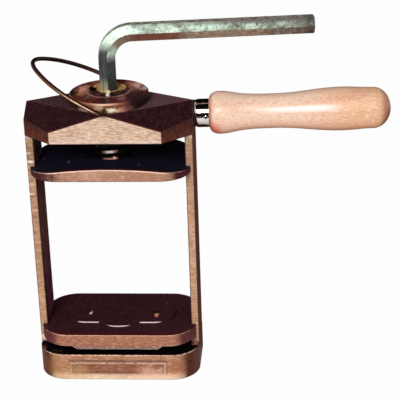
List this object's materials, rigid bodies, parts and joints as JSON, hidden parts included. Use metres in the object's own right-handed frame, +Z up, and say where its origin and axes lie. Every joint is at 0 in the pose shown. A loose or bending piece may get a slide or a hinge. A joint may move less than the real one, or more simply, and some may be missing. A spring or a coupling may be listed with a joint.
{
  "type": "hand screw press",
  "caption": "Small hand screw press: cast frame, hexagon-key screw, sliding upper platen, sprung lower plate, wire bail and turned wooden handle.",
  "frame": {"origin": "centre of the base's flat underside", "axes": "+X towards the wooden handle, +Y to the back, +Z up along the press screw"},
  "size_m": [0.2422, 0.0754, 0.2464],
  "materials": {
    "frame_casting": "satin",
    "plate_casting": "satin",
    "nut_copper": "polished",
    "screw_brass": "polished",
    "bail_wire": "polished",
    "key_zinc": "zinc plated",
    "keeper_steel": "blackened",
    "fastener_steel": "satin",
    "spring_steel": "oiled",
    "ferrule_nickel": "polished",
    "washer_black": "matte",
    "handle_wood": "lacquered"
  },
  "bodies": {
    "frame": {"press_frame": "frame_casting", "flange_nut": "nut_copper", "handle": "handle_wood", "ferrule": "ferrule_nickel", "ferrule_pin": "ferrule_nickel", "handle_stud": "fastener_steel", "stud_washer": "washer_black", "plate_spring_left": "spring_steel", "plate_spring_right": "spring_steel"},
    "platen": {"upper_platen": "plate_casting", "keeper_left": "keeper_steel", "keeper_right": "keeper_steel", "keeper_screw_left": "fastener_steel", "keeper_screw_right": "fastener_steel", "thrust_disc": "keeper_steel"},
    "screw": {"press_screw": "screw_brass"},
    "key": {"hex_key": "key_zinc"},
    "bail": {"bail": "bail_wire"},
    "lower_plate": {"lower_plate": "plate_casting", "shoulder_screw_left": "fastener_steel", "shoulder_screw_right": "fastener_steel"}
  },
  "joints": [
    {"name": "platen_slide", "type": "slide", "parent": "frame", "child": "platen", "axis": [0, 0, -1], "range_m": [-0.0101, 0.0101]},
    {"name": "screw_turn", "type": "hinge", "parent": "platen", "child": "screw", "pos_m": [0, 0, 0.155], "axis": [0, 0, -1], "range_deg": [-720, 720]},
    {"name": "key_lift", "type": "slide", "parent": "screw", "child": "key", "axis": [0, 0, 1], "range_m": [0, 0.04]},
    {"name": "bail_swing", "type": "hinge", "parent": "frame", "child": "bail", "pos_m": [0, 0, 0.1963], "axis": [0, 1, 0], "range_deg": [-26.5, 32.5]},
    {"name": "plate_press", "type": "slide", "parent": "frame", "child": "lower_plate", "axis": [0, 0, -1], "range_m": [0, 0.003], "stiffness_N_per_m": 20000, "springref_m": -0.0005, "deforming": ["plate_spring_left", "plate_spring_right"]}
  ],
  "couplings": [
    {"joint": "platen_slide", "follows": "screw_turn", "m_per_rad": 0.00079577}
  ]
}
